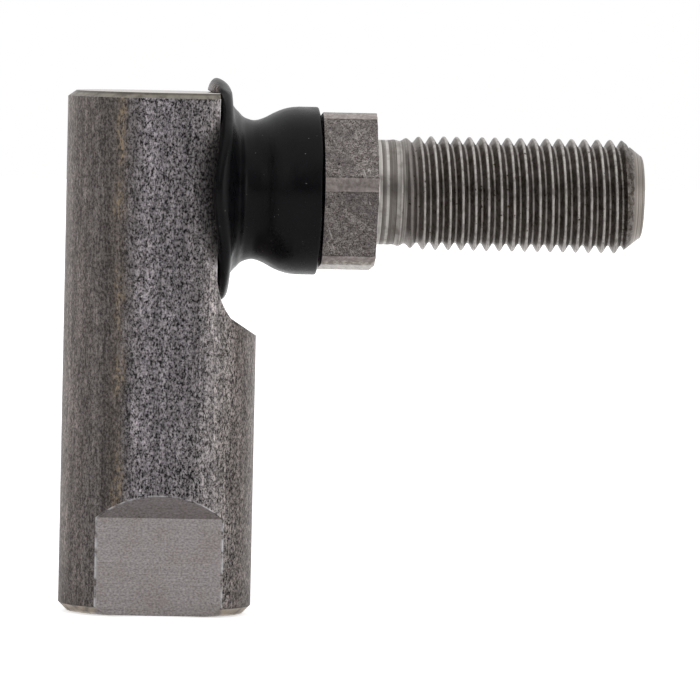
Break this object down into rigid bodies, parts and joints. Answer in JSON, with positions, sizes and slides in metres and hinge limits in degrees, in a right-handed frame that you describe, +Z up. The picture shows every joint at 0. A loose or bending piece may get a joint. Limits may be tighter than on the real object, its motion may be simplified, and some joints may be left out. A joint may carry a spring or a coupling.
{
  "type": "ball joint rod end",
  "caption": "Right-angle ball-joint rod end: a round bar with a tapped bore and a ball socket across its head, and a threaded ball stud under a rubber boot.",
  "frame": {"origin": "the ball's centre, on the axis of the round bar", "axes": "+X out along the ball stud, +Z up the bar away from its tapped end, +Y completes a right-handed frame"},
  "size_m": [0.0475, 0.0182, 0.044],
  "materials": {
    "bar_steel": "drawn bar, dull",
    "stud_steel": "turned and rolled, satin",
    "boot_rubber": "moulded, semi-matte",
    "seat_bronze": "sintered, oiled",
    "hard_steel": "ground, hardened"
  },
  "bodies": {
    "housing": {"socket_body": "bar_steel", "rear_seat": "seat_bronze", "front_race": "seat_bronze", "retaining_washer": "hard_steel", "backing_disc": "hard_steel", "disc_spring": "hard_steel", "boot_base": "boot_rubber"},
    "boot_fold": {"boot_waist": "boot_rubber"},
    "boot_top": {"boot_neck": "boot_rubber"},
    "stud": {"ball_stud": "stud_steel"}
  },
  "joints": [
    {"name": "stud_pitch", "type": "hinge", "parent": "housing", "child": "boot_fold", "pos_m": [0, 0, 0], "axis": [0, 1, 0], "range_deg": [-17.5, 17.5], "deforming": ["boot_base", "boot_waist"]},
    {"name": "stud_yaw", "type": "hinge", "parent": "boot_fold", "child": "boot_top", "pos_m": [0, 0, 0], "axis": [0, 0, 1], "range_deg": [-17.5, 17.5], "deforming": ["boot_waist"]},
    {"name": "stud_spin", "type": "hinge", "parent": "boot_top", "child": "stud", "pos_m": [0, 0, 0], "axis": [1, 0, 0], "continuous": true}
  ]
}
